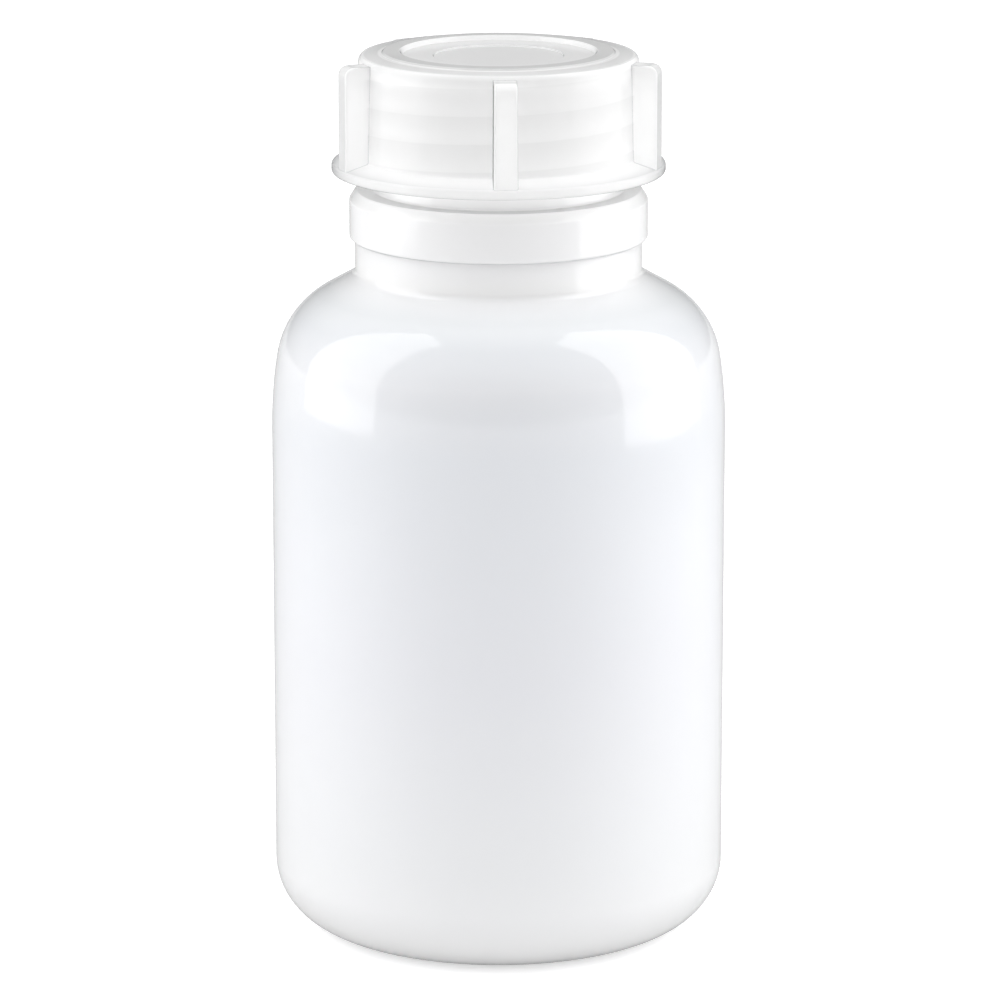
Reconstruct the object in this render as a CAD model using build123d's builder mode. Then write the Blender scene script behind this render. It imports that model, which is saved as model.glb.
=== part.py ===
from build123d import *
import os
from math import asin, cos, degrees, radians, sin, tan

os.makedirs("parts", exist_ok=True)

# Millimetres, +Z up, origin at the centre of the base, on the plane the bottle stands on.

# Blown body
body_radius = 40.0
body_wall = 1.3
base_corner_radius = 11.6
side_height = 78.8
stand_ring_width = 3.4
base_push_up = 2.6

# Shoulder: a slow lead-in arc, a tight corner arc, then a cone up to the neck
shoulder_lead_radius = 81.4
shoulder_lead_angle = 9.1
shoulder_corner_radius = 15.6
shoulder_cone_angle = 29.4
neck_root_fillet = 1.6

# Neck, collar and finish
neck_radius = 25.2
neck_height = 6.3
collar_overhang = 0.95
collar_height = 8.6
collar_under_round = 0.9
collar_chamfer_width = 1.1
collar_chamfer_height = 1.7
finish_inset = 3.5
finish_wall = 1.7
finish_height = 21.4
rim_round = 0.4
bore_taper_height = 5.0

# Screw cap, moulded in one piece with its plug seal
thread_gap = 1.7
cap_wall = 1.5
cap_draft = 0.45
cap_depth = 18.3
cap_plate = 2.1
cap_shoulder_rise = 1.1
cap_shoulder_radius = 1.45
cap_shoulder_slope = 38.0
bead_height = 0.8
bead_inset = 4.05
bead_width = 3.2
bead_round = 0.35
centre_step_inset = 5.9
centre_step_depth = 0.25
plug_clearance = 0.15
plug_wall = 1.3
plug_depth = 5.0
plug_lead_in = 0.5
plug_lead_height = 1.0
mouth_chamfer = 0.5

# Grip flange and ribs
flange_reach = 4.3
flange_edge_height = 1.7
flange_slope_height = 1.3
flange_round = 0.6
rib_count = 5
rib_width = 4.2
rib_inset_from_flange = 0.3
rib_top_drop = 1.3
rib_draft = 0.3
rib_corner_round = 1.6
rib_edge_round = 0.4
rib_start_angle = -87.5

# Heights and radii that follow
shoulder_height = base_corner_radius + side_height
lead_turn = radians(shoulder_lead_angle)
cone_lean = radians(90 - shoulder_cone_angle)
corner_start_radius = body_radius - shoulder_lead_radius * (1 - cos(lead_turn))
cone_start_radius = corner_start_radius - shoulder_corner_radius * (cos(lead_turn) - cos(cone_lean))
corner_start_height = shoulder_height + shoulder_lead_radius * sin(lead_turn)
cone_start_height = corner_start_height + shoulder_corner_radius * (sin(cone_lean) - sin(lead_turn))
cone_rise = tan(radians(shoulder_cone_angle))
neck_root_height = cone_start_height + (cone_start_radius - neck_radius) * cone_rise
collar_bottom = neck_root_height + neck_height
collar_top = collar_bottom + collar_height
collar_radius = neck_radius + collar_overhang
finish_radius = neck_radius - finish_inset
bore_radius = finish_radius - finish_wall
rim_height = collar_top + finish_height

plate_top = rim_height + cap_plate
cap_top = plate_top + bead_height
cap_bottom = rim_height - cap_depth
skirt_bore = finish_radius + thread_gap
skirt_foot_radius = skirt_bore + cap_wall
skirt_head_radius = skirt_foot_radius - cap_draft
bead_outer_radius = skirt_head_radius - bead_inset
bead_inner_radius = bead_outer_radius - bead_width
centre_step_radius = bead_inner_radius - centre_step_inset
plug_radius = bore_radius - plug_clearance
flange_radius = skirt_foot_radius + flange_reach
flange_top = cap_bottom + flange_edge_height + flange_slope_height
rib_reach = flange_radius - rib_inset_from_flange
rib_length = rib_reach - bead_outer_radius
rib_foot = cap_bottom + flange_edge_height / 2
rib_height = cap_top - rib_top_drop - rib_foot


def blown_outline(inset):
    """Lines of the blown half profile, pulled in by inset, from the base centre to the neck."""
    ring_outer = body_radius - base_corner_radius
    ring_inner = ring_outer - stand_ring_width
    dome_radius = (ring_inner**2 + base_push_up**2) / (2 * base_push_up)
    dome_turn = degrees(asin(ring_inner / dome_radius))
    side_radius = body_radius - inset
    dome = JernArc((0, inset + base_push_up), (1, 0), dome_radius, -dome_turn)
    ring = Line(dome @ 1, (ring_outer, inset))
    heel = JernArc(ring @ 1, (1, 0), base_corner_radius - inset, 90)
    side = Line(heel @ 1, (side_radius, shoulder_height))
    lead = JernArc(side @ 1, (0, 1), shoulder_lead_radius - inset, shoulder_lead_angle)
    corner_turn = 90 - shoulder_cone_angle - shoulder_lead_angle
    corner = JernArc(lead @ 1, lead % 1, shoulder_corner_radius - inset, corner_turn)
    neck_inner = neck_radius - inset
    run_in = (corner @ 1).X - neck_inner
    return Line(corner @ 1, (neck_inner, (corner @ 1).Y + run_in * cone_rise))


def corner_at(radius, height):
    """The corner of the half profile being drawn that lies at a radius and a height."""
    return vertices().sort_by_distance((radius, height))[0]


# Bottle: blown body, neck, collar ring and finish, open through the bore
with BuildPart() as bottle:
    with BuildSketch(Plane.XZ):
        with BuildLine():
            cone = blown_outline(0)
            Polyline(
                cone @ 1,
                (neck_radius, collar_bottom),
                (collar_radius, collar_bottom),
                (collar_radius, collar_top - collar_chamfer_height),
                (collar_radius - collar_chamfer_width, collar_top),
                (finish_radius, collar_top),
                (finish_radius, rim_height),
                (0, rim_height),
                (0, base_push_up),
            )
        make_face()
        fillet(corner_at(neck_radius, neck_root_height), neck_root_fillet)
        fillet(corner_at(collar_radius, collar_bottom), collar_under_round)
    revolve(axis=Axis.Z)
    with BuildSketch(Plane.XZ):
        with BuildLine():
            inner_cone = blown_outline(body_wall)
            Polyline(
                inner_cone @ 1,
                (neck_radius - body_wall, collar_bottom),
                (bore_radius, collar_bottom + bore_taper_height),
                (bore_radius, rim_height),
                (0, rim_height),
                (0, body_wall + base_push_up),
            )
        make_face()
    revolve(axis=Axis.Z, mode=Mode.SUBTRACT)
    fillet(edges().filter_by(GeomType.CIRCLE).group_by(Axis.Z)[-1], rim_round)
bottle.part.label = "bottle"

# One grip rib: a drafted wing along +X, rounded over its outer corner and along its edges
with BuildPart() as rib:
    with BuildSketch(Plane.XY.offset(rib_foot)):
        with Locations((bead_outer_radius + rib_length / 2, 0)):
            Rectangle(rib_length, rib_width)
    extrude(amount=rib_height, taper=rib_draft)
    top_outer_edge = edges().filter_by(Axis.Y).sort_by(Axis.Z)[-2:].sort_by(Axis.X)[-1]
    fillet(top_outer_edge, rib_corner_round)
    outer_sides = faces().sort_by(Axis.X)[-1].edges().sort_by(Axis.Z)[1:3]
    fillet(outer_sides, rib_edge_round)

# Cap: turned outer form, grip ribs on the flange, then the hollow with its plug seal
with BuildPart() as cap:
    with BuildSketch(Plane.XZ):
        with BuildLine():
            foot = Polyline(
                (0, cap_bottom),
                (flange_radius, cap_bottom),
                (flange_radius, cap_bottom + flange_edge_height),
                (skirt_foot_radius, flange_top),
                (skirt_head_radius, rim_height + cap_shoulder_rise),
            )
            turn = 90 - cap_shoulder_slope
            shoulder = JernArc(foot @ 1, (0, 1), cap_shoulder_radius, turn)
            Polyline(
                shoulder @ 1,
                (bead_outer_radius, cap_top - bead_round),
                (bead_outer_radius - bead_round, cap_top),
                (bead_inner_radius, cap_top),
                (bead_inner_radius - bead_height / 2, plate_top),
                (centre_step_radius, plate_top),
                (centre_step_radius, plate_top - centre_step_depth),
                (0, plate_top - centre_step_depth),
                (0, cap_bottom),
            )
        make_face()
        fillet(corner_at(flange_radius, cap_bottom), flange_round)
        fillet(corner_at(flange_radius, cap_bottom + flange_edge_height), flange_round)
    revolve(axis=Axis.Z)
    with PolarLocations(0, rib_count, rib_start_angle):
        add(rib.part)
    with BuildSketch(Plane.XZ):
        with BuildLine():
            Polyline(
                (0, cap_bottom),
                (skirt_bore + mouth_chamfer, cap_bottom),
                (skirt_bore, cap_bottom + mouth_chamfer),
                (skirt_bore, rim_height),
                (plug_radius, rim_height),
                (plug_radius, rim_height - plug_depth + plug_lead_height),
                (plug_radius - plug_lead_in, rim_height - plug_depth),
                (plug_radius - plug_wall, rim_height - plug_depth),
                (plug_radius - plug_wall, rim_height),
                (0, rim_height),
                (0, cap_bottom),
            )
        make_face()
    revolve(axis=Axis.Z, mode=Mode.SUBTRACT)
cap.part.label = "cap"

export_step(bottle.part, "parts/bottle.step")
export_step(cap.part, "parts/cap.step")
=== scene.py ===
import bmesh
import bpy
from math import atan, cos, hypot, pi, radians, sin, tan
from mathutils import Matrix, Vector


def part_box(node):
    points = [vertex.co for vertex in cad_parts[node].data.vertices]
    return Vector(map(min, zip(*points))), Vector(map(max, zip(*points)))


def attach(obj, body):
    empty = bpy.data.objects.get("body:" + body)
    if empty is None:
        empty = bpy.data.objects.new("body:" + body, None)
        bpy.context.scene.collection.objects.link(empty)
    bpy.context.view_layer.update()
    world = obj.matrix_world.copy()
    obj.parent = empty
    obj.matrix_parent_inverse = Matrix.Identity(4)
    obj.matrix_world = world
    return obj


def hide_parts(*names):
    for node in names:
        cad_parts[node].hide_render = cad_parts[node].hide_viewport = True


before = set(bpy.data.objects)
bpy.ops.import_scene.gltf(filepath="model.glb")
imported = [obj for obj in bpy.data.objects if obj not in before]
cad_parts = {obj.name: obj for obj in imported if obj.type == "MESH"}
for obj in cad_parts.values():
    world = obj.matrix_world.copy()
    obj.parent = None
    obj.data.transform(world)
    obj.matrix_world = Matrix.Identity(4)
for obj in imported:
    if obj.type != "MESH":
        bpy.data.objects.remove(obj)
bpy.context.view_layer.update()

# ---------------------------------------------------------------- sizes, in millimetres
MM = 0.001
bottle_high = Vector(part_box("bottle")[1]) / MM
cap_low, cap_high = (Vector(corner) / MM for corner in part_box("cap"))

body_radius = bottle_high.x
rim_height = bottle_high.z
cap_bottom = cap_low.z
cap_top = cap_high.z

# blown body, neck and collar
body_wall = 1.3
base_corner_radius = 11.6
side_height = 78.8
stand_ring_width = 3.4
base_push_up = 2.6
shoulder_lead_radius = 81.4
shoulder_lead_angle = radians(9.1)
shoulder_corner_radius = 15.6
shoulder_cone_angle = radians(29.4)
neck_root_fillet = 1.6
neck_radius = 25.2
neck_height = 6.3
collar_overhang = 0.95
collar_height = 8.6
collar_under_round = 0.6
collar_chamfer_width = 1.1
collar_chamfer_height = 1.7
collar_chamfer_round = 0.8
finish_inset = 3.5
finish_wall = 1.7
bore_taper_height = 5.0

# thread, the same on the finish and inside the cap, half a pitch apart
thread_pitch = 4.8
thread_depth = 1.2
thread_width = 2.6
thread_flank = 0.9
thread_turns = 2.6
thread_run_out = 0.08
thread_drop_from_rim = 16.2
thread_clear = 1.0
thread_row = 0.2

# screw cap
thread_gap = 1.7
cap_wall = 1.5
cap_draft = 0.45
cap_shoulder_rise = 1.1
cap_shoulder_radius = 1.45
cap_shoulder_slope = radians(38)
cap_plate = 2.1
bead_height = 0.8
bead_inset = 4.05
bead_width = 3.2
bead_round = 0.35
centre_step_inset = 5.9
centre_step_depth = 0.25
centre_step_run = 0.1
plug_clearance = 0.15
plug_wall = 1.3
plug_depth = 5.0
plug_lead_in = 0.5
plug_lead_height = 1.0
mouth_chamfer = 0.5
flange_reach = 4.3
flange_edge_height = 1.7
flange_slope_height = 1.3
flange_round = 0.6

# grip ribs
rib_count = 5
rib_width = 4.2
rib_inset_from_flange = 0.3
rib_top_drop = 1.3
rib_draft = radians(0.3)
rib_corner_round = 1.6
rib_edge_round = 0.4
rib_start_angle = radians(-87.5)

# eases of moulded edges, from crisp to broad, and how finely curves are laid out
hair = 0.08
crisp = 0.2
eased = 0.4
broad = 2.0
plain_row = 6.0
shoulder_row = 2.0
steps_round = 288
corner_steps = 5
arc_steps = 20
merge_gap = 1e-6
bottle_crease = radians(50)
cap_crease = radians(35)

# what follows from the sizes above
collar_radius = neck_radius + collar_overhang
finish_radius = neck_radius - finish_inset
bore_radius = finish_radius - finish_wall
thread_first_height = rim_height - thread_drop_from_rim
skirt_bore = finish_radius + thread_gap
skirt_foot_radius = skirt_bore + cap_wall
skirt_head_radius = skirt_foot_radius - cap_draft
flange_radius = skirt_foot_radius + flange_reach
flange_top = cap_bottom + flange_edge_height + flange_slope_height
plate_top = cap_top - bead_height
bead_outer_radius = skirt_head_radius - bead_inset
bead_inner_radius = bead_outer_radius - bead_width
centre_step_radius = bead_inner_radius - centre_step_inset
plug_radius = bore_radius - plug_clearance


# ---------------------------------------------------------------- helpers
def linear(hex_colour):
    """sRGB hex text to a linear RGBA tuple."""
    channels = [int(hex_colour[i : i + 2], 16) / 255 for i in (1, 3, 5)]
    return tuple(c / 12.92 if c <= 0.04045 else ((c + 0.055) / 1.055) ** 2.4 for c in channels) + (1.0,)


def add_node(tree, kind, settings=None, inputs=None):
    """A new node with its settings; an input given a socket is linked, any other is set."""
    node = tree.nodes.new(kind)
    for name, value in (settings or {}).items():
        if name == "stops":
            ramp = node.color_ramp.elements
            for stop, (at, colour) in zip(ramp, (value[0], value[-1])):
                stop.position, stop.color = at, colour
            for at, colour in value[1:-1]:
                ramp.new(at).color = colour
        else:
            setattr(node, name, value)
    for name, value in (inputs or {}).items():
        if isinstance(value, bpy.types.NodeSocket):
            tree.links.new(value, node.inputs[name])
        else:
            node.inputs[name].default_value = value
    return node


def arc(centre_r, centre_z, radius, start, end, steps):
    """Profile points on an arc; angles are from +r towards +z."""
    turn = (end - start) / steps
    return [(centre_r + radius * cos(start + i * turn), centre_z + radius * sin(start + i * turn))
            for i in range(steps + 1)]


def rounded(corners, steps=corner_steps):
    """Profile points along (r, z, round) corners, each corner eased by its round."""
    points = []
    for i, (r, z, ease) in enumerate(corners):
        if ease == 0 or i in (0, len(corners) - 1):
            points.append((r, z))
            continue
        here = Vector((r, z))
        to_last = (Vector(corners[i - 1][:2]) - here).normalized()
        to_next = (Vector(corners[i + 1][:2]) - here).normalized()
        half = to_last.angle(to_next) / 2
        reach = ease / tan(half)
        middle = here + (to_last + to_next).normalized() * ease / sin(half)
        first = here + to_last * reach - middle
        last = here + to_next * reach - middle
        swing = first.angle_signed(last)
        for k in range(steps + 1):
            points.append(tuple(middle + Matrix.Rotation(-swing * k / steps, 2) @ first))
    return points


def filled_in(points, longest):
    """The same profile with points added so that no stretch is longer than the given length."""
    full = [points[0]]
    for (r0, z0), (r1, z1) in zip(points, points[1:]):
        parts = max(1, round(hypot(r1 - r0, z1 - z0) / longest))
        full += [(r0 + (r1 - r0) * k / parts, z0 + (z1 - z0) * k / parts) for k in range(1, parts + 1)]
    return full


def profile_mesh(name, stretches):
    """A line mesh through stretches of (points, thread side): +1 outwards, -1 inwards, 0 plain."""
    points, sides = [], []
    for stretch, side in stretches:
        points += [(r * MM, 0, z * MM) for r, z in stretch]
        sides += [side] * len(stretch)
    mesh = bpy.data.meshes.new(name)
    mesh.from_pydata(points, [(i, i + 1) for i in range(len(points) - 1)], [])
    mesh.attributes.new("thread_side", "FLOAT", "POINT").data.foreach_set("value", sides)
    return mesh


def face_out(piece, crease):
    """Turns every face outwards and shades smooth up to the crease angle."""
    bm = bmesh.new()
    bm.from_mesh(piece.data)
    bmesh.ops.recalc_face_normals(bm, faces=bm.faces)
    for face in bm.faces:
        face.smooth = True
    for edge in bm.edges:
        edge.smooth = not edge.is_manifold or edge.calc_face_angle(0) < crease
    bm.to_mesh(piece.data)
    bm.free()


def keep_flats_flat(piece):
    """Leans the shading at a rounded edge on the larger faces beside it, so that flats stay flat."""
    even = piece.modifiers.new("even", "WEIGHTED_NORMAL")
    even.keep_sharp = True
    shape = piece.evaluated_get(bpy.context.evaluated_depsgraph_get())
    piece.data = bpy.data.meshes.new_from_object(shape)
    piece.modifiers.remove(even)


# ---------------------------------------------------------------- geometry node trees
def group_input(tree, name, kind, value):
    """A named input of a geometry tree, with its default."""
    socket = tree.interface.new_socket(name, in_out="INPUT", socket_type=kind)
    if value is not None:
        socket.default_value = value
    return socket.identifier


def turned_tree():
    """Turns a profile about the axis and raises a helical thread on the rows marked for it."""
    tree = bpy.data.node_groups.new("turned wall with thread", "GeometryNodeTree")
    ids = {"Profile": group_input(tree, "Profile", "NodeSocketGeometry", None)}
    sizes = {"Pitch": thread_pitch, "Depth": thread_depth, "Width": thread_width,
             "Flank": thread_flank, "Start": thread_first_height}
    for name, value in sizes.items():
        ids[name] = group_input(tree, name, "NodeSocketFloat", value * MM)
    ids["Turns"] = group_input(tree, "Turns", "NodeSocketFloat", thread_turns)
    ids["Steps"] = group_input(tree, "Steps", "NodeSocketInt", steps_round)
    ids["Finish"] = group_input(tree, "Finish", "NodeSocketMaterial", None)
    tree.interface.new_socket("Geometry", in_out="OUTPUT", socket_type="NodeSocketGeometry")
    given = add_node(tree, "NodeGroupInput").outputs

    # a flat grid: one column for each step round the axis, one row for each profile point
    rows = add_node(tree, "GeometryNodeAttributeDomainSize", {"component": "MESH"},
                    {0: given["Profile"]}).outputs[0]
    columns = add_node(tree, "ShaderNodeMath", {"operation": "ADD"}, {0: given["Steps"], 1: 1.0}).outputs[0]
    grid = add_node(tree, "GeometryNodeMeshGrid", None,
                    {"Size X": 1.0, "Size Y": 1.0, "Vertices X": columns, "Vertices Y": rows}).outputs[0]
    spot = add_node(tree, "GeometryNodeInputPosition").outputs[0]
    across = add_node(tree, "ShaderNodeSeparateXYZ", None, {0: spot}).outputs
    turned_by = add_node(tree, "ShaderNodeMath", {"operation": "ADD"}, {0: across["X"], 1: 0.5}).outputs[0]
    last_row = add_node(tree, "ShaderNodeMath", {"operation": "SUBTRACT"}, {0: rows, 1: 1.0}).outputs[0]
    up = add_node(tree, "ShaderNodeMath", {"operation": "ADD"}, {0: across["Y"], 1: 0.5}).outputs[0]
    row = add_node(tree, "ShaderNodeMath", {"operation": "MULTIPLY"}, {0: up, 1: last_row}).outputs[0]
    row = add_node(tree, "ShaderNodeMath", {"operation": "ROUND"}, {0: row}).outputs[0]

    # each grid point reads its radius, its height and its thread side from the profile
    place = add_node(tree, "GeometryNodeSampleIndex", {"data_type": "FLOAT_VECTOR", "domain": "POINT"},
                     {"Geometry": given["Profile"], "Index": row, "Value": spot}).outputs[0]
    marked = add_node(tree, "GeometryNodeInputNamedAttribute", {"data_type": "FLOAT"},
                      {"Name": "thread_side"}).outputs[0]
    side = add_node(tree, "GeometryNodeSampleIndex", {"data_type": "FLOAT", "domain": "POINT"},
                    {"Geometry": given["Profile"], "Index": row, "Value": marked}).outputs[0]
    height = add_node(tree, "ShaderNodeSeparateXYZ", None, {0: place}).outputs["Z"]

    # how far the point lies from the nearest crest of the helix
    lift = add_node(tree, "ShaderNodeMath", {"operation": "SUBTRACT"},
                    {0: height, 1: given["Start"]}).outputs[0]
    lift = add_node(tree, "ShaderNodeMath", {"operation": "DIVIDE"},
                    {0: lift, 1: given["Pitch"]}).outputs[0]
    climb = add_node(tree, "ShaderNodeMath", {"operation": "SUBTRACT"}, {0: lift, 1: turned_by}).outputs[0]
    nearest = add_node(tree, "ShaderNodeMath", {"operation": "ROUND"}, {0: climb}).outputs[0]
    off = add_node(tree, "ShaderNodeMath", {"operation": "SUBTRACT"}, {0: climb, 1: nearest}).outputs[0]
    off = add_node(tree, "ShaderNodeMath", {"operation": "ABSOLUTE"}, {0: off}).outputs[0]
    off = add_node(tree, "ShaderNodeMath", {"operation": "MULTIPLY"},
                   {0: off, 1: given["Pitch"]}).outputs[0]
    foot = add_node(tree, "ShaderNodeMath", {"operation": "MULTIPLY"},
                    {0: given["Width"], 1: 0.5}).outputs[0]
    crest = add_node(tree, "ShaderNodeMath", {"operation": "SUBTRACT"},
                     {0: foot, 1: given["Flank"]}).outputs[0]
    ridge = add_node(tree, "ShaderNodeMapRange", {"interpolation_type": "SMOOTHSTEP"},
                     {"Value": off, "From Min": foot, "From Max": crest}).outputs[0]

    # the ridge fades out at both ends of its turns, and grows the wall by its depth
    wound = add_node(tree, "ShaderNodeMath", {"operation": "ADD"}, {0: nearest, 1: turned_by}).outputs[0]
    left = add_node(tree, "ShaderNodeMath", {"operation": "SUBTRACT"},
                    {0: given["Turns"], 1: wound}).outputs[0]
    to_end = add_node(tree, "ShaderNodeMath", {"operation": "MINIMUM"}, {0: wound, 1: left}).outputs[0]
    run_out = add_node(tree, "ShaderNodeMapRange", {"interpolation_type": "SMOOTHSTEP"},
                       {"Value": to_end, "From Max": thread_run_out}).outputs[0]
    rise = add_node(tree, "ShaderNodeMath", {"operation": "MULTIPLY"}, {0: ridge, 1: run_out}).outputs[0]
    rise = add_node(tree, "ShaderNodeMath", {"operation": "MULTIPLY"},
                    {0: rise, 1: given["Depth"]}).outputs[0]
    rise = add_node(tree, "ShaderNodeMath", {"operation": "MULTIPLY"}, {0: rise, 1: side}).outputs[0]
    outward = add_node(tree, "ShaderNodeCombineXYZ", None, {"X": rise}).outputs[0]
    wall = add_node(tree, "ShaderNodeVectorMath", {"operation": "ADD"}, {0: place, 1: outward}).outputs[0]
    angle = add_node(tree, "ShaderNodeMath", {"operation": "MULTIPLY"},
                     {0: turned_by, 1: 2 * pi}).outputs[0]
    point = add_node(tree, "ShaderNodeVectorRotate", {"rotation_type": "Z_AXIS"},
                     {"Vector": wall, "Angle": angle}).outputs[0]
    turned = add_node(tree, "GeometryNodeSetPosition", None, {0: grid, "Position": point}).outputs[0]
    joined = add_node(tree, "GeometryNodeMergeByDistance", None,
                      {0: turned, "Distance": merge_gap}).outputs[0]
    real = add_node(tree, "GeometryNodeRealizeInstances", None, {0: joined}).outputs[0]
    dressed = add_node(tree, "GeometryNodeSetMaterial", None,
                       {0: real, "Material": given["Finish"]}).outputs[0]
    add_node(tree, "NodeGroupOutput", None, {0: dressed})
    return tree, ids


def rib_ring_tree():
    """Sets copies of one rib round the axis and joins them to the carrier as one closed shell."""
    tree = bpy.data.node_groups.new("ring of ribs", "GeometryNodeTree")
    ids = {"Rib": group_input(tree, "Rib", "NodeSocketGeometry", None)}
    ids["Carrier"] = group_input(tree, "Carrier", "NodeSocketObject", None)
    ids["Count"] = group_input(tree, "Count", "NodeSocketInt", rib_count)
    ids["First"] = group_input(tree, "First", "NodeSocketFloat", rib_start_angle)
    ids["Finish"] = group_input(tree, "Finish", "NodeSocketMaterial", None)
    tree.interface.new_socket("Geometry", in_out="OUTPUT", socket_type="NodeSocketGeometry")
    given = add_node(tree, "NodeGroupInput").outputs
    spots = add_node(tree, "GeometryNodePoints", None, {"Count": given["Count"]}).outputs[0]
    index = add_node(tree, "GeometryNodeInputIndex").outputs[0]
    step = add_node(tree, "ShaderNodeMath", {"operation": "DIVIDE"},
                    {0: 2 * pi, 1: given["Count"]}).outputs[0]
    bearing = add_node(tree, "ShaderNodeMath", {"operation": "MULTIPLY_ADD"},
                       {0: index, 1: step, 2: given["First"]}).outputs[0]
    turn = add_node(tree, "ShaderNodeCombineXYZ", None, {"Z": bearing}).outputs[0]
    copies = add_node(tree, "GeometryNodeInstanceOnPoints", None,
                      {"Points": spots, "Instance": given["Rib"], "Rotation": turn}).outputs[0]
    ribs = add_node(tree, "GeometryNodeRealizeInstances", None, {0: copies}).outputs[0]
    carrier = add_node(tree, "GeometryNodeObjectInfo", None,
                       {"Object": given["Carrier"]}).outputs["Geometry"]
    union = add_node(tree, "GeometryNodeMeshBoolean", {"operation": "UNION", "solver": "EXACT"})
    tree.links.new(carrier, union.inputs["Mesh 2"])
    tree.links.new(ribs, union.inputs["Mesh 2"])
    real = add_node(tree, "GeometryNodeRealizeInstances", None, {0: union.outputs[0]}).outputs[0]
    dressed = add_node(tree, "GeometryNodeSetMaterial", None,
                       {0: real, "Material": given["Finish"]}).outputs[0]
    add_node(tree, "NodeGroupOutput", None, {0: dressed})
    return tree, ids


def grown(name, mesh, tree, values):
    """Runs a geometry tree on a mesh and returns the result as a plain mesh object."""
    seed = bpy.data.objects.new(name + "_seed", mesh)
    bpy.context.scene.collection.objects.link(seed)
    modifier = seed.modifiers.new("tree", "NODES")
    modifier.node_group = tree[0]
    for label, value in values.items():
        modifier[tree[1][label]] = value
    shape = seed.evaluated_get(bpy.context.evaluated_depsgraph_get())
    result = bpy.data.meshes.new_from_object(shape)
    result.name = name
    bpy.data.objects.remove(seed)
    piece = bpy.data.objects.new(name, result)
    bpy.context.scene.collection.objects.link(piece)
    return piece


# ---------------------------------------------------------------- materials
white = (1.0, 1.0, 1.0, 1.0)

# polyethylene: colour against height as a share of the bottle's, lighter and darker by height, with the
# finish under the cap painted white as painted light against the shade there; ripple and soak depth are in
# millimetres, gloss is the least and most roughness, and the edge-on refraction colour is a painted darker
# shade where a wall is seen edge-on
wall_tints_and_painted_light = [(0.0, "#f7f7f8"), (0.12, "#f0f1f3"), (0.35, "#ebecf0"), (0.6, "#e9ebef"), (0.68, "#edeef1"),
              (0.72, "#e3e5e8"), (0.745, "#e6e8ea"), (0.77, "#f7f7f8"), (0.8, "#f3f3f4"),
              (0.85, "#f4f4f5"), (0.862, "#ffffff"), (1.0, "#ffffff")]
pe_ripple = 14.0
pe_ripple_depth = 0.05
pe_ripple_strength = 0.2
pe_ripple_detail = 2.0
pe_gloss = (0.07, 0.11)
pe_soak_depth = 0.8
pe_soak_end = (0.852, 0.862)
pe_specular = 0.7
pe_ior = 1.51
pe_edge_shade = "#8a8e96"
pe_edge_shade_share = 0.6
pe_edge_shade_steepness = 4.0
pe_edge_shade_roughness = 0.3

# polypropylene: painted shade of the thread inside, seen through the skirt, along one pitch of the thread,
# and painted highlight and shade in ring shapes on the top plate against the radius as a share of the
# skirt's; edges and clouds are in millimetres, the edge colour is a painted dark line along moulded edges,
# cover is how much of the sight a wall stops, glow_through is the share that it spreads to the far side,
# and the edge-on refraction colour is a painted darker shade where a wall is seen edge-on
painted_thread_shade_tones = [(0.0, 1.0), (0.1, 1.0), (0.35, 0.985), (0.96, 0.95), (1.0, 1.0)]
painted_ring_light_and_shade = [(0.0, 0.96), (0.385, 0.96), (0.39, 0.98), (0.52, 0.98), (0.53, 1.0), (0.69, 1.0), (0.7, 0.76),
              (0.815, 0.76), (0.82, 1.0), (0.84, 1.0), (0.85, 0.82), (0.94, 0.82), (0.955, 1.0)]
band_shift = 0.575
plate_edge = (0.957, 0.935)
above_rim_by = 0.1
skirt_edge = 1.004
rib_tip_reach = 1.15
edge_width = 0.3
edge_bend = 0.85
painted_edge_line_share = 0.4
painted_edge_line_tone = "#8c9096"
edge_samples = 8
pp_cloud = 6.0
pp_cloud_detail = 3.0
pp_gloss = (0.08, 0.15)
pp_ior = 1.49
skirt_cover, plate_cover = 0.7, 0.9
skirt_glow_through, plate_glow_through = 0.5, 0.2
pp_edge_shade = "#505458"
pp_edge_shade_share = 0.9
pp_edge_shade_steepness = 10.0
pp_rib_steepness = 3.6
pp_edge_shade_roughness = 0.1


def seen_edge_on(tree, steepness, share):
    """How far a wall is seen edge-on, which sets the share of painted darker shade mixed in there."""
    facing = add_node(tree, "ShaderNodeLayerWeight", None, {"Blend": 0.5}).outputs["Facing"]
    steep = add_node(tree, "ShaderNodeMath", {"operation": "POWER"}, {0: facing, 1: steepness}).outputs[0]
    return add_node(tree, "ShaderNodeMath", {"operation": "MULTIPLY"}, {0: steep, 1: share}).outputs[0]


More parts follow.
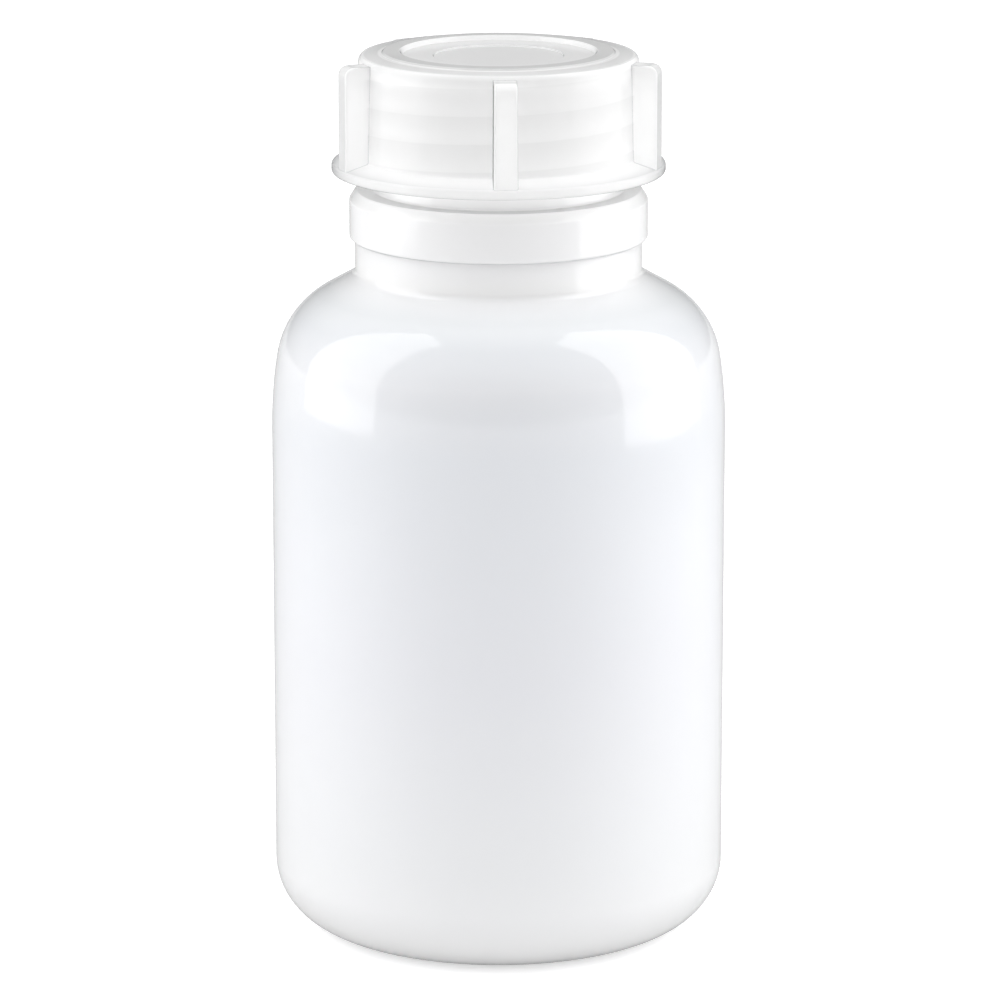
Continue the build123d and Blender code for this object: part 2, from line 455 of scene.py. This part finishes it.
def milky_polyethylene():
    """Natural PE, blow-moulded: milky, light soaks into the thin wall, soft waxy gloss, painted darker
    shade edge-on.
    """
    material = bpy.data.materials.new("milky_polyethylene_blown")
    material.use_nodes = True
    tree = material.node_tree
    tree.nodes.clear()
    where = add_node(tree, "ShaderNodeTexCoord").outputs["Object"]
    ripple = add_node(tree, "ShaderNodeTexNoise", None, {
        "Vector": where, "Scale": 1 / (pe_ripple * MM), "Detail": pe_ripple_detail}).outputs[0]
    bump = add_node(tree, "ShaderNodeBump", None, {
        "Height": ripple, "Strength": pe_ripple_strength, "Distance": pe_ripple_depth * MM}).outputs[0]
    gloss = add_node(tree, "ShaderNodeMapRange", None,
                     {"Value": ripple, "To Min": pe_gloss[0], "To Max": pe_gloss[1]}).outputs[0]
    height = add_node(tree, "ShaderNodeSeparateXYZ", None, {0: where}).outputs["Z"]
    share = add_node(tree, "ShaderNodeMath", {"operation": "DIVIDE"},
                     {0: height, 1: rim_height * MM}).outputs[0]
    # painted light: lighter and darker by height, and white on the finish under the cap against the shade
    # there
    painted_light_tints = [(at, linear(colour)) for at, colour in wall_tints_and_painted_light]
    tint_and_painted_light = add_node(tree, "ShaderNodeValToRGB", {"stops": painted_light_tints}, {0: share}).outputs[0]
    soak = add_node(tree, "ShaderNodeMapRange", None, {
        "Value": share, "From Min": pe_soak_end[0], "From Max": pe_soak_end[1],
        "To Min": 1.0, "To Max": 0.0}).outputs[0]
    milk = add_node(tree, "ShaderNodeBsdfPrincipled", None, {
        "Base Color": tint_and_painted_light, "Roughness": gloss, "IOR": pe_ior, "Specular IOR Level": pe_specular,
        "Subsurface Weight": soak, "Subsurface Radius": (1.0, 1.0, 1.0),
        "Subsurface Scale": pe_soak_depth * MM, "Normal": bump}).outputs[0]
    # painted shade: a refraction with a darker colour, mixed in where the wall is seen edge-on
    painted_edge_shade = add_node(tree, "ShaderNodeBsdfRefraction", None, {
        "Color": linear(pe_edge_shade), "IOR": pe_ior, "Roughness": pe_edge_shade_roughness}).outputs[0]
    edge_on = seen_edge_on(tree, pe_edge_shade_steepness, pe_edge_shade_share)
    skin = add_node(tree, "ShaderNodeMixShader", None, {0: edge_on, 1: milk, 2: painted_edge_shade}).outputs[0]
    add_node(tree, "ShaderNodeOutputMaterial", None, {"Surface": skin})
    return material


def cloudy_polypropylene():
    """Natural PP, injection-moulded: clear but cloudy, crisp gloss, painted shade of the thread as soft
    stripes, painted highlight and shade on the top.
    """
    material = bpy.data.materials.new("natural_polypropylene_moulded")
    material.use_nodes = True
    tree = material.node_tree
    tree.nodes.clear()
    where = add_node(tree, "ShaderNodeTexCoord").outputs["Object"]
    cloud = add_node(tree, "ShaderNodeTexNoise", None, {
        "Vector": where, "Scale": 1 / (pp_cloud * MM), "Detail": pp_cloud_detail}).outputs[0]
    gloss = add_node(tree, "ShaderNodeMapRange", None,
                     {"Value": cloud, "To Min": pp_gloss[0], "To Max": pp_gloss[1]}).outputs[0]
    place = add_node(tree, "ShaderNodeSeparateXYZ", None, {0: where}).outputs
    level = add_node(tree, "ShaderNodeVectorMath", {"operation": "MULTIPLY"},
                     {0: where, 1: (1, 1, 0)}).outputs[0]
    radius = add_node(tree, "ShaderNodeVectorMath", {"operation": "LENGTH"}, {0: level}).outputs["Value"]
    reach = add_node(tree, "ShaderNodeMath", {"operation": "DIVIDE"},
                     {0: radius, 1: skirt_foot_radius * MM}).outputs[0]

    # painted thread shade: how far along the thread's pitch the wall is, with the helix unwound
    turn = add_node(tree, "ShaderNodeMath", {"operation": "ARCTAN2"},
                    {0: place["Y"], 1: place["X"]}).outputs[0]
    rise = add_node(tree, "ShaderNodeMath", {"operation": "DIVIDE"},
                    {0: place["Z"], 1: thread_pitch * MM}).outputs[0]
    along = add_node(tree, "ShaderNodeMath", {"operation": "MULTIPLY_ADD"},
                     {0: turn, 1: -0.5 / pi, 2: rise}).outputs[0]
    along = add_node(tree, "ShaderNodeMath", {"operation": "ADD"}, {0: along, 1: band_shift}).outputs[0]
    course = add_node(tree, "ShaderNodeMath", {"operation": "FRACT"}, {0: along}).outputs[0]
    # painted shade of the thread on the skirt, and painted highlight and shade in ring shapes on the top
    # plate
    painted_thread_shade, painted_rings = (add_node(tree, "ShaderNodeValToRGB", {"stops": [(at, (t, t, t, 1)) for at, t in tones]},
                             {0: value}).outputs[0]
                    for value, tones in ((course, painted_thread_shade_tones), (reach, painted_ring_light_and_shade)))

    # where the skirt, the top plate and the outstanding ribs and flange are
    above_rim = add_node(tree, "ShaderNodeMath", {"operation": "GREATER_THAN"},
                         {0: place["Z"], 1: (rim_height + above_rim_by) * MM}).outputs[0]
    inward = add_node(tree, "ShaderNodeMapRange", None,
                      {"Value": reach, "From Min": plate_edge[0], "From Max": plate_edge[1]}).outputs[0]
    on_plate = add_node(tree, "ShaderNodeMath", {"operation": "MULTIPLY"},
                        {0: above_rim, 1: inward}).outputs[0]
    not_rib = add_node(tree, "ShaderNodeMath", {"operation": "LESS_THAN"},
                       {0: reach, 1: skirt_edge}).outputs[0]
    not_flange = add_node(tree, "ShaderNodeMapRange", None, {
        "Value": place["Z"],
        "From Min": flange_top * MM, "From Max": (flange_top + mouth_chamfer) * MM}).outputs[0]
    on_skirt = add_node(tree, "ShaderNodeMath", {"operation": "MULTIPLY"},
                        {0: not_rib, 1: not_flange}).outputs[0]
    standing_out = add_node(tree, "ShaderNodeMapRange", None,
                            {"Value": reach, "From Min": 1.0, "From Max": rib_tip_reach}).outputs[0]
    skirt_tone_with_painted_shade = add_node(tree, "ShaderNodeMix", {"data_type": "RGBA"},
                         {0: on_skirt, 6: white, 7: painted_thread_shade}).outputs[2]
    tone_with_painted_light = add_node(tree, "ShaderNodeMix", {"data_type": "RGBA"},
                    {0: on_plate, 6: skirt_tone_with_painted_shade, 7: painted_rings}).outputs[2]

    # moulded edges draw a thin painted darker line, painted shade where light leaves the plastic
    bent = add_node(tree, "ShaderNodeBevel", {"samples": edge_samples},
                    {"Radius": edge_width * MM}).outputs[0]
    flat = add_node(tree, "ShaderNodeNewGeometry").outputs["Normal"]
    same = add_node(tree, "ShaderNodeVectorMath", {"operation": "DOT_PRODUCT"},
                    {0: bent, 1: flat}).outputs["Value"]
    edge = add_node(tree, "ShaderNodeMapRange", None, {
        "Value": same, "From Min": 1.0, "From Max": edge_bend,
        "To Min": 0.0, "To Max": painted_edge_line_share}).outputs[0]
    colour = add_node(tree, "ShaderNodeMix", {"data_type": "RGBA"},
                      {0: edge, 6: tone_with_painted_light, 7: linear(painted_edge_line_tone)}).outputs[2]

    # the thin skirt lets more light and sight through than the thick top plate
    solid = add_node(tree, "ShaderNodeMapRange", None, {
        "Value": place["Z"],
        "From Min": (rim_height - cap_plate) * MM, "From Max": rim_height * MM}).outputs[0]
    cover = add_node(tree, "ShaderNodeMapRange", None,
                     {"Value": solid, "To Min": skirt_cover, "To Max": plate_cover}).outputs[0]
    thin = add_node(tree, "ShaderNodeMapRange", None, {
        "Value": solid, "To Min": skirt_glow_through, "To Max": plate_glow_through}).outputs[0]
    cloudy = add_node(tree, "ShaderNodeBsdfPrincipled", None, {
        "Base Color": colour, "Roughness": gloss, "IOR": pp_ior, "Alpha": cover}).outputs[0]
    through = add_node(tree, "ShaderNodeBsdfTranslucent", None, {"Color": colour}).outputs[0]
    wall = add_node(tree, "ShaderNodeMixShader", None, {0: thin, 1: cloudy, 2: through}).outputs[0]
    # painted shade: a refraction with a darker colour, mixed in where the wall is seen edge-on
    painted_edge_shade = add_node(tree, "ShaderNodeBsdfRefraction", None, {
        "Color": linear(pp_edge_shade), "IOR": pp_ior, "Roughness": pp_edge_shade_roughness}).outputs[0]
    steepness = add_node(tree, "ShaderNodeMapRange", None, {
        "Value": standing_out, "To Min": pp_edge_shade_steepness, "To Max": pp_rib_steepness}).outputs[0]
    edge_on = seen_edge_on(tree, steepness, pp_edge_shade_share)
    skin = add_node(tree, "ShaderNodeMixShader", None, {0: edge_on, 1: wall, 2: painted_edge_shade}).outputs[0]
    add_node(tree, "ShaderNodeOutputMaterial", None, {"Surface": skin})
    return material


# ---------------------------------------------------------------- bottle
def blown_wall(inset):
    """Profile of the blown wall, pulled in by inset, from the base centre to where the cone starts."""
    ring_outer = body_radius - base_corner_radius
    ring_inner = ring_outer - stand_ring_width
    dome_radius = (ring_inner ** 2 + base_push_up ** 2) / (2 * base_push_up)
    dome_edge = pi / 2 - 2 * atan(base_push_up / ring_inner)
    points = arc(0, inset + base_push_up - dome_radius, dome_radius, pi / 2, dome_edge, arc_steps)
    points += arc(ring_outer, base_corner_radius, base_corner_radius - inset, -pi / 2, 0, arc_steps)
    lead_r = body_radius - shoulder_lead_radius
    shoulder_height = base_corner_radius + side_height
    points += arc(lead_r, shoulder_height, shoulder_lead_radius - inset,
                  0, shoulder_lead_angle, arc_steps // 2)
    between = shoulder_lead_radius - shoulder_corner_radius
    corner_r = lead_r + between * cos(shoulder_lead_angle)
    corner_z = shoulder_height + between * sin(shoulder_lead_angle)
    points += arc(corner_r, corner_z, shoulder_corner_radius - inset,
                  shoulder_lead_angle, pi / 2 - shoulder_cone_angle, arc_steps)[1:]
    return points


def bottle_profile():
    """The whole closed wall: up the outside, over the rim and down the inside."""
    outer = blown_wall(0)
    inner = blown_wall(body_wall)
    rise = tan(shoulder_cone_angle)
    root = outer[-1][1] + (outer[-1][0] - neck_radius) * rise
    inner_neck = neck_radius - body_wall
    inner_root = inner[-1][1] + (inner[-1][0] - inner_neck) * rise
    collar_bottom = root + neck_height
    collar_top = collar_bottom + collar_height
    thread_foot = collar_top + thread_clear
    thread_head = rim_height - thread_clear
    neck = rounded([
        (*outer[-1], 0),
        (neck_radius, root, neck_root_fillet),
        (neck_radius, collar_bottom, eased),
        (collar_radius, collar_bottom, collar_under_round),
        (collar_radius, collar_top - collar_chamfer_height, collar_chamfer_round),
        (collar_radius - collar_chamfer_width, collar_top, collar_under_round),
        (finish_radius, collar_top, eased),
        (finish_radius, thread_foot, 0)])
    finish = filled_in([(finish_radius, thread_foot), (finish_radius, thread_head)], thread_row)
    mouth = rounded([
        (finish_radius, thread_head, 0),
        (finish_radius, rim_height, eased),
        (bore_radius, rim_height, eased),
        (bore_radius, collar_bottom + bore_taper_height, broad),
        (inner_neck, collar_bottom, broad),
        (inner_neck, inner_root, neck_root_fillet),
        (*inner[-1], 0)])
    side = filled_in(outer, plain_row)
    return profile_mesh("bottle_profile", [
        (side, 0), (neck[1:-1], 0), (finish, 1), (mouth[1:-1], 0), (filled_in(inner[::-1], plain_row), 0)])


# ---------------------------------------------------------------- cap
def cap_profile():
    """The closed cap wall: out over the top, down the skirt, round the flange and up the inside."""
    turn_in = rim_height + cap_shoulder_rise
    slope_top = turn_in + cap_shoulder_radius * cos(cap_shoulder_slope)
    slope_r = skirt_head_radius - cap_shoulder_radius * (1 - sin(cap_shoulder_slope))
    step_floor = plate_top - centre_step_depth
    thread_foot = cap_bottom + 3 * mouth_chamfer
    thread_head = rim_height - eased - crisp
    top = rounded([
        (0, step_floor, 0),
        (centre_step_radius, step_floor, hair),
        (centre_step_radius + centre_step_run, plate_top, hair),
        (bead_inner_radius - bead_height / 2, plate_top, crisp),
        (bead_inner_radius, cap_top, crisp),
        (bead_outer_radius - bead_round, cap_top, crisp),
        (bead_outer_radius, cap_top - bead_round, crisp),
        (slope_r, slope_top, 0)])
    shoulder = arc(skirt_head_radius - cap_shoulder_radius, turn_in, cap_shoulder_radius,
                   pi / 2 - cap_shoulder_slope, 0, arc_steps // 2)
    skirt = rounded([
        (*shoulder[-1], 0),
        (skirt_foot_radius, flange_top, eased),
        (flange_radius, cap_bottom + flange_edge_height, flange_round),
        (flange_radius, cap_bottom, flange_round),
        (skirt_bore + mouth_chamfer, cap_bottom, crisp),
        (skirt_bore, cap_bottom + mouth_chamfer, crisp),
        (skirt_bore, thread_foot, 0)])
    thread = filled_in([(skirt_bore, thread_foot), (skirt_bore, thread_head)], thread_row)
    inside = rounded([
        (skirt_bore, thread_head, 0),
        (skirt_bore, rim_height, eased),
        (plug_radius, rim_height, crisp),
        (plug_radius, rim_height - plug_depth + plug_lead_height, crisp),
        (plug_radius - plug_lead_in, rim_height - plug_depth, crisp),
        (plug_radius - plug_wall, rim_height - plug_depth, crisp),
        (plug_radius - plug_wall, rim_height, eased),
        (0, rim_height, 0)])
    return profile_mesh("cap_profile", [(top[:-1], 0), (filled_in(shoulder, shoulder_row), 0),
                                        (skirt[1:-1], 0), (thread, -1), (inside[1:], 0)])


def rib_mesh():
    """One rib along +X: it starts inside the skirt wall and, above the rim, inside the top plate."""
    foot = cap_bottom + flange_edge_height / 2
    top = cap_top - rib_top_drop
    reach = flange_radius - rib_inset_from_flange
    root = (skirt_bore + skirt_head_radius) / 2
    ledge = rim_height + cap_plate / 2
    outline = rounded([(root, foot, 0), (reach, foot, 0), (reach, top, rib_corner_round),
                       (bead_outer_radius, top, 0), (bead_outer_radius, ledge, 0), (root, ledge, 0)])
    bm = bmesh.new()
    ring = [bm.verts.new((r * MM, 0, z * MM)) for r, z in outline]
    face = bm.faces.new(ring)
    grown_faces = bmesh.ops.extrude_face_region(bm, geom=[face])["geom"]
    near, far = set(ring), {v for v in grown_faces if isinstance(v, bmesh.types.BMVert)}
    for v in near | far:
        half = (rib_width / 2 - (v.co.z / MM - foot) * tan(rib_draft)) * MM
        v.co.y = half if v in far else -half
    bmesh.ops.recalc_face_normals(bm, faces=bm.faces)

    # the long edges that stand clear of the skirt are eased, apart from those at the foot
    clear_of_skirt = [e for e in bm.edges if min(v.co.x for v in e.verts) > (root + hair) * MM]
    along = [e for e in clear_of_skirt if (e.verts[0] in near) == (e.verts[1] in near)]
    above_foot = [e for e in along if max(v.co.z for v in e.verts) > (foot + hair) * MM]
    bmesh.ops.bevel(bm, geom=above_foot, offset=rib_edge_round * MM, segments=corner_steps, profile=0.5,
                    affect="EDGES", clamp_overlap=True)
    mesh = bpy.data.meshes.new("rib")
    bm.to_mesh(mesh)
    bm.free()
    return mesh


polyethylene = milky_polyethylene()
polypropylene = cloudy_polypropylene()

turned = turned_tree()
bottle = grown("bottle_body", bottle_profile(), turned, {"Finish": polyethylene})
face_out(bottle, bottle_crease)
keep_flats_flat(bottle)
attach(bottle, "bottle")
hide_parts("bottle")

cap_start = (thread_first_height + thread_pitch / 2) * MM
cap_shell = grown("cap_shell", cap_profile(), turned, {"Finish": polypropylene, "Start": cap_start})
face_out(cap_shell, bottle_crease)
cap = grown("screw_cap", rib_mesh(), rib_ring_tree(), {"Carrier": cap_shell, "Finish": polypropylene})
bpy.data.objects.remove(cap_shell)
face_out(cap, cap_crease)
keep_flats_flat(cap)
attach(cap, "cap")
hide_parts("cap")

# ---------------------------------------------------------------- stage, light and camera
# camera: aimed at the middle of the height, from the front and a little above
view_distance = 1.0
view_drop = radians(13.6)
view_lens = 203.1
view_sensor = 36.0
aim = Vector((0.00025, 0, 0.07654))

# floor: its own pale grey takes the light and the shadow, the rest of its white is for the eye
floor_half = 6.0
floor_colour = "#e2e2e2"
floor_glow = 0.53

# soft boxes at both sides: side, near and far ends along the depth, height of the lower edge
softbox_gap = 0.36
softbox_top = 1.1
softbox_level = 1.5
softboxes = {"softbox_left": (-1, -0.19, 0.135, 0.055), "softbox_right": (1, -0.185, 0.19, 0.038)}

# room: level in front, behind and overhead, and between which heights and depths it changes
room_front = 0.51
room_behind = 0.6
room_overhead = 1.08
room_depths = (-0.2, 0.6)
room_heights = (0.25, 0.8)
diffuse_bounces = 10
all_bounces = 20


def pale_floor():
    """A wide plain floor that keeps the object's shadow and looks white."""
    material = bpy.data.materials.new("pale_floor")
    material.use_nodes = True
    tree = material.node_tree
    tree.nodes.clear()
    path = add_node(tree, "ShaderNodeLightPath").outputs
    seen = add_node(tree, "ShaderNodeMath", {"operation": "MAXIMUM"},
                    {0: path["Is Camera Ray"], 1: path["Is Transmission Ray"]}).outputs[0]
    seen = add_node(tree, "ShaderNodeMath", {"operation": "MAXIMUM"},
                    {0: seen, 1: path["Is Glossy Ray"]}).outputs[0]
    glow = add_node(tree, "ShaderNodeMath", {"operation": "MULTIPLY"}, {0: seen, 1: floor_glow}).outputs[0]
    paint = add_node(tree, "ShaderNodeBsdfDiffuse", None, {"Color": linear(floor_colour)}).outputs[0]
    shine = add_node(tree, "ShaderNodeEmission", None, {"Color": white, "Strength": glow}).outputs[0]
    both = add_node(tree, "ShaderNodeAddShader", None, {0: paint, 1: shine}).outputs[0]
    add_node(tree, "ShaderNodeOutputMaterial", None, {"Surface": both})
    mesh = bpy.data.meshes.new("floor")
    corners = [(-floor_half, -floor_half, 0), (floor_half, -floor_half, 0),
               (floor_half, floor_half, 0), (-floor_half, floor_half, 0)]
    mesh.from_pydata(corners, [], [(0, 1, 2, 3)])
    mesh.materials.append(material)
    plane = bpy.data.objects.new("floor", mesh)
    bpy.context.scene.collection.objects.link(plane)


def softbox(name, side, near, far, low):
    """A tall soft lamp beside the object, turned to it."""
    light = bpy.data.lights.new(name, "AREA")
    light.shape = "RECTANGLE"
    width = far - near
    height = softbox_top - low
    light.size = width
    light.size_y = height
    light.energy = softbox_level * width * height * pi
    lamp = bpy.data.objects.new(name, light)
    lamp.location = (side * softbox_gap, (near + far) / 2, (low + softbox_top) / 2)
    lamp.rotation_euler = (pi / 2, 0, side * pi / 2)
    lamp.visible_camera = False
    bpy.context.scene.collection.objects.link(lamp)


def studio_air():
    """A room that lights from overhead and behind more than from the front; it looks white itself."""
    world = bpy.data.worlds.new("studio")
    bpy.context.scene.world = world
    world.use_nodes = True
    tree = world.node_tree
    tree.nodes.clear()
    direction = add_node(tree, "ShaderNodeTexCoord").outputs["Generated"]
    towards = add_node(tree, "ShaderNodeSeparateXYZ", None, {0: direction}).outputs
    low = add_node(tree, "ShaderNodeMapRange", {"interpolation_type": "SMOOTHSTEP"}, {
        "Value": towards["Y"], "From Min": room_depths[0], "From Max": room_depths[1],
        "To Min": room_front, "To Max": room_behind}).outputs[0]
    level = add_node(tree, "ShaderNodeMapRange", {"interpolation_type": "SMOOTHSTEP"}, {
        "Value": towards["Z"], "From Min": room_heights[0], "From Max": room_heights[1],
        "To Min": low, "To Max": room_overhead}).outputs[0]
    seen = add_node(tree, "ShaderNodeLightPath").outputs["Is Camera Ray"]
    shown = add_node(tree, "ShaderNodeMix", {"data_type": "FLOAT"}, {0: seen, 2: level, 3: 1.0}).outputs[0]
    room = add_node(tree, "ShaderNodeBackground", None, {"Color": white, "Strength": shown}).outputs[0]
    add_node(tree, "ShaderNodeOutputWorld", None, {"Surface": room})


lens = bpy.data.cameras.new("camera")
lens.lens = view_lens
lens.sensor_width = view_sensor
camera = bpy.data.objects.new("camera", lens)
camera.location = aim + Vector((0, -cos(view_drop), sin(view_drop))) * view_distance
camera.rotation_euler = (pi / 2 - view_drop, 0, 0)
bpy.context.scene.collection.objects.link(camera)
bpy.context.scene.camera = camera

pale_floor()
for name, place in softboxes.items():
    softbox(name, *place)
studio_air()
bpy.context.scene.view_settings.view_transform = "Standard"
bpy.context.scene.cycles.diffuse_bounces = diffuse_bounces
bpy.context.scene.cycles.max_bounces = all_bounces
